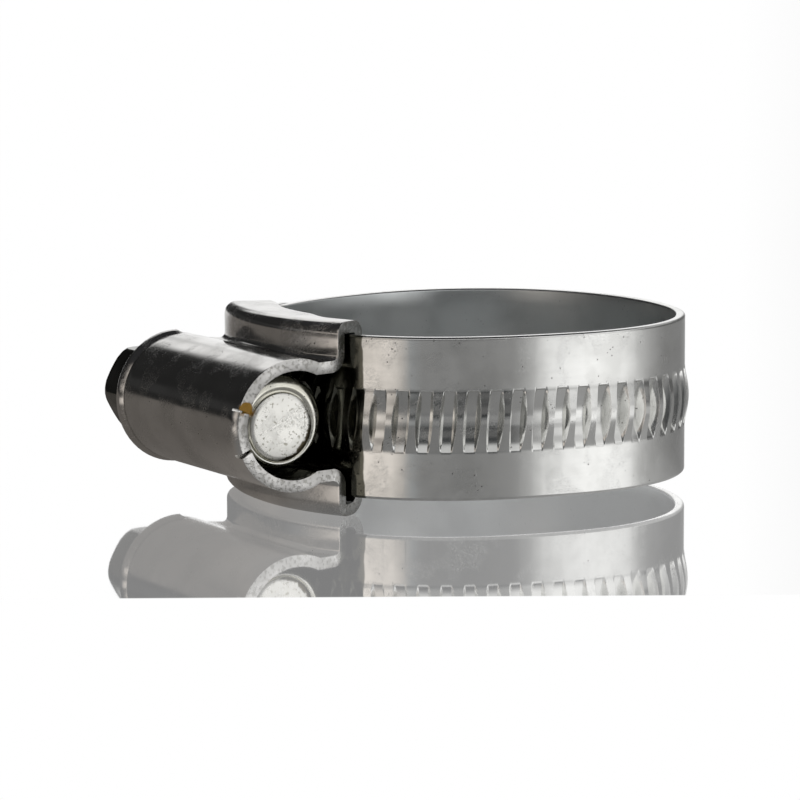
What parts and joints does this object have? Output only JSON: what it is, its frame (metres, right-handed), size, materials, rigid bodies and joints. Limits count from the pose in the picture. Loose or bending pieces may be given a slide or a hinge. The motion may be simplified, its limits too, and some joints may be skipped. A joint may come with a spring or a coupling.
{
  "type": "worm drive hose clamp",
  "caption": "Worm drive hose clamp: a steel band with a pressed thread runs through a folded housing, where a slotted hexagon worm screw draws it tight round a hose.",
  "frame": {"origin": "under the middle of the whole clamp, on the surface it lies on", "axes": "+Z along the hose's axis; +X along the screw from its head to its tail end; the housing is on the -Y side of the loop"},
  "size_m": [0.035, 0.0448, 0.0156],
  "materials": {
    "band_plating": "bright zinc plated strip, lengthwise grain, smooth reflections",
    "housing_plating": "zinc plated pressing, polished barrel with fine cross scratches, worn edges",
    "screw_plating": "zinc plated and passivated, mottled end face with a dab of yellow residue"
  },
  "bodies": {
    "clamp": {"band": "band_plating", "housing": "housing_plating"},
    "screw": {"worm_screw": "screw_plating"}
  },
  "joints": [
    {"name": "screw_turn", "type": "hinge", "parent": "clamp", "child": "screw", "pos_m": [0.00014, -0.0169, 0.00778], "axis": [1, 0, 0], "continuous": true, "deforming": ["band"]}
  ]
}
